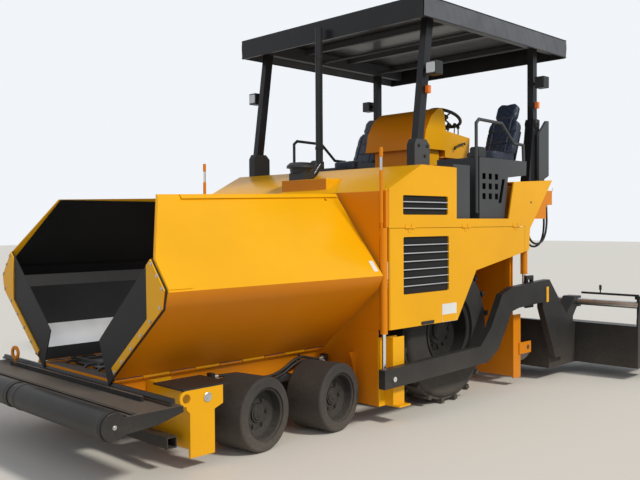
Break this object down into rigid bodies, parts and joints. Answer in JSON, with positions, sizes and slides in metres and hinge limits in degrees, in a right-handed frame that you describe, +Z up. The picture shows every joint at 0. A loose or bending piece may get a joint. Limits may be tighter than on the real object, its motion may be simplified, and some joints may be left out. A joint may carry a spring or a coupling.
{
  "type": "wheeled asphalt paver",
  "caption": "Wheeled asphalt paver with a folding front hopper, bar feeders, open operator station under a flat canopy, augers and a screed on tow arms",
  "frame": {"origin": "on the floor under the middle of the whole machine, half way between the outer ends of the screed extensions", "axes": "+Z up, the machine drives towards -Y, its left side is +X"},
  "size_m": [3.94, 6.7, 3.7],
  "materials": {
    "yellow_paint": "glossy",
    "orange_paint": "glossy",
    "dark_grey_paint": "satin",
    "black_paint": "satin",
    "grey_paint": "satin",
    "bare_steel": "scuffed",
    "chain_steel": "scuffed",
    "auger_steel": "scuffed",
    "bright_rod": "polished",
    "engine_iron": "rough",
    "tread_plate": "rough",
    "seat_cover": "matte",
    "black_plastic": "matte",
    "canopy_fabric": "satin",
    "tarpaulin": "matte",
    "flap_rubber": "matte",
    "tyre_rubber": "matte"
  },
  "bodies": {
    "root": {"main_frame": "orange_paint", "feeder_floor": "bare_steel", "feeder_chains": "chain_steel", "running_gear": "dark_grey_paint", "front_brackets": "yellow_paint", "front_wall": "orange_paint", "hood": "yellow_paint", "side_panel_left": "yellow_paint", "side_panel_right": "yellow_paint", "engine": "engine_iron", "deck": "tread_plate", "seat_consoles": "grey_paint", "seat_left": "seat_cover", "seat_right": "seat_cover", "console": "yellow_paint", "controls": "black_plastic", "canopy_posts": "black_paint", "canopy_roof": "canopy_fabric", "canopy_curtains": "tarpaulin", "exhaust_stack": "black_paint", "air_precleaner": "black_plastic", "lamps": "black_plastic", "tow_guides": "yellow_paint", "level_cylinders": "orange_paint", "rear_body": "orange_paint", "push_beam": "dark_grey_paint"},
    "wing_left": {"wing_left": "yellow_paint", "flap_left": "flap_rubber"},
    "wing_right": {"wing_right": "yellow_paint", "flap_right": "flap_rubber"},
    "push_roller_left": {"push_roller_left": "dark_grey_paint"},
    "push_roller_right": {"push_roller_right": "dark_grey_paint"},
    "drive_wheel_left": {"drive_tyre_left": "tyre_rubber", "drive_rim_left": "dark_grey_paint"},
    "drive_wheel_right": {"drive_tyre_right": "tyre_rubber", "drive_rim_right": "dark_grey_paint"},
    "side_door_left": {"side_door_left": "yellow_paint"},
    "side_door_right": {"side_door_right": "yellow_paint"},
    "tow_rods": {"tow_rods": "bright_rod"},
    "screed": {"tow_arms": "dark_grey_paint", "screed_body": "dark_grey_paint"},
    "screed_extension_left": {"screed_extension_left": "dark_grey_paint"},
    "screed_extension_right": {"screed_extension_right": "dark_grey_paint"},
    "lift_barrels": {"lift_barrels": "orange_paint"},
    "lift_rods": {"lift_rods": "bright_rod"},
    "auger_left": {"auger_left": "auger_steel"},
    "auger_right": {"auger_right": "auger_steel"},
    "knuckle_front_left": {"knuckle_front_left": "dark_grey_paint"},
    "wheel_front_left": {"wheel_front_left": "tyre_rubber"},
    "knuckle_front_right": {"knuckle_front_right": "dark_grey_paint"},
    "wheel_front_right": {"wheel_front_right": "tyre_rubber"},
    "knuckle_rear_left": {"knuckle_rear_left": "dark_grey_paint"},
    "wheel_rear_left": {"wheel_rear_left": "tyre_rubber"},
    "knuckle_rear_right": {"knuckle_rear_right": "dark_grey_paint"},
    "wheel_rear_right": {"wheel_rear_right": "tyre_rubber"}
  },
  "joints": [
    {"name": "wing_left_tilt", "type": "hinge", "parent": "root", "child": "wing_left", "pos_m": [0.54, -1.76, 0.59], "axis": [0, 1, 0], "range_deg": [0, 36]},
    {"name": "push_roller_left_spin", "type": "hinge", "parent": "root", "child": "push_roller_left", "pos_m": [0.65, -3.258, 0.48], "axis": [1, 0, 0], "continuous": true},
    {"name": "drive_wheel_left_spin", "type": "hinge", "parent": "root", "child": "drive_wheel_left", "pos_m": [0.92, 0.41, 0.68], "axis": [1, 0, 0], "continuous": true},
    {"name": "side_door_left_lift", "type": "hinge", "parent": "root", "child": "side_door_left", "pos_m": [1.257, 0.46, 1.655], "axis": [0, -1, 0], "range_deg": [0, 85]},
    {"name": "auger_left_spin", "type": "hinge", "parent": "root", "child": "auger_left", "pos_m": [0.6, 1.73, 0.38], "axis": [1, 0, 0], "continuous": true},
    {"name": "wing_right_tilt", "type": "hinge", "parent": "root", "child": "wing_right", "pos_m": [-0.54, -1.76, 0.59], "axis": [0, -1, 0], "range_deg": [0, 36]},
    {"name": "push_roller_right_spin", "type": "hinge", "parent": "root", "child": "push_roller_right", "pos_m": [-0.65, -3.258, 0.48], "axis": [1, 0, 0], "continuous": true},
    {"name": "drive_wheel_right_spin", "type": "hinge", "parent": "root", "child": "drive_wheel_right", "pos_m": [-0.92, 0.41, 0.68], "axis": [1, 0, 0], "continuous": true},
    {"name": "side_door_right_lift", "type": "hinge", "parent": "root", "child": "side_door_right", "pos_m": [-1.257, 0.46, 1.655], "axis": [0, 1, 0], "range_deg": [0, 85]},
    {"name": "auger_right_spin", "type": "hinge", "parent": "root", "child": "auger_right", "pos_m": [-0.6, 1.73, 0.38], "axis": [1, 0, 0], "continuous": true},
    {"name": "steer_front_left", "type": "hinge", "parent": "root", "child": "knuckle_front_left", "pos_m": [0.64, -1.94, 0.2795], "axis": [0, 0, 1], "range_deg": [-29, 11]},
    {"name": "wheel_front_left_spin", "type": "hinge", "parent": "knuckle_front_left", "child": "wheel_front_left", "pos_m": [0.90865, -1.89745, 0.2795], "axis": [0.9877, 0.1564, 0], "continuous": true},
    {"name": "steer_rear_left", "type": "hinge", "parent": "root", "child": "knuckle_rear_left", "pos_m": [0.64, -1.14, 0.2795], "axis": [0, 0, 1], "range_deg": [-29, 11]},
    {"name": "wheel_rear_left_spin", "type": "hinge", "parent": "knuckle_rear_left", "child": "wheel_rear_left", "pos_m": [0.90865, -1.09745, 0.2795], "axis": [0.9877, 0.1564, 0], "continuous": true},
    {"name": "steer_front_right", "type": "hinge", "parent": "root", "child": "knuckle_front_right", "pos_m": [-0.64, -1.94, 0.2795], "axis": [0, 0, 1], "range_deg": [-29, 11]},
    {"name": "wheel_front_right_spin", "type": "hinge", "parent": "knuckle_front_right", "child": "wheel_front_right", "pos_m": [-0.90865, -1.98255, 0.2795], "axis": [0.9877, 0.1564, 0], "continuous": true},
    {"name": "steer_rear_right", "type": "hinge", "parent": "root", "child": "knuckle_rear_right", "pos_m": [-0.64, -1.14, 0.2795], "axis": [0, 0, 1], "range_deg": [-29, 11]},
    {"name": "wheel_rear_right_spin", "type": "hinge", "parent": "knuckle_rear_right", "child": "wheel_rear_right", "pos_m": [-0.90865, -1.18255, 0.2795], "axis": [0.9877, 0.1564, 0], "continuous": true},
    {"name": "tow_point_level", "type": "slide", "parent": "root", "child": "tow_rods", "axis": [0, 0, 1], "range_m": [-0.1, 0.1]},
    {"name": "screed_lift", "type": "hinge", "parent": "tow_rods", "child": "screed", "pos_m": [0, -0.68, 0.405], "axis": [1, 0, 0], "range_deg": [-2, 2.5]},
    {"name": "screed_extension_left_slide", "type": "slide", "parent": "screed", "child": "screed_extension_left", "axis": [1, 0, 0], "range_m": [-0.65, 0.3]},
    {"name": "screed_extension_right_slide", "type": "slide", "parent": "screed", "child": "screed_extension_right", "axis": [-1, 0, 0], "range_m": [-0.65, 0.3]},
    {"name": "lift_barrels_tilt", "type": "hinge", "parent": "root", "child": "lift_barrels", "pos_m": [0, 1.6, 1.6], "axis": [1, 0, 0], "range_deg": [-2.6, 2.1]},
    {"name": "lift_rods_slide", "type": "slide", "parent": "lift_barrels", "child": "lift_rods", "axis": [0, 0, 1], "range_m": [-0.082, 0.102]}
  ],
  "couplings": [
    {"joint": "lift_barrels_tilt", "follows": "screed_lift", "ratio": -0.96},
    {"joint": "lift_rods_slide", "follows": "screed_lift", "m_per_rad": 2.28},
    {"joint": "steer_front_right", "follows": "steer_front_left", "ratio": 1},
    {"joint": "steer_rear_left", "follows": "steer_front_left", "ratio": 1},
    {"joint": "steer_rear_right", "follows": "steer_front_left", "ratio": 1}
  ]
}
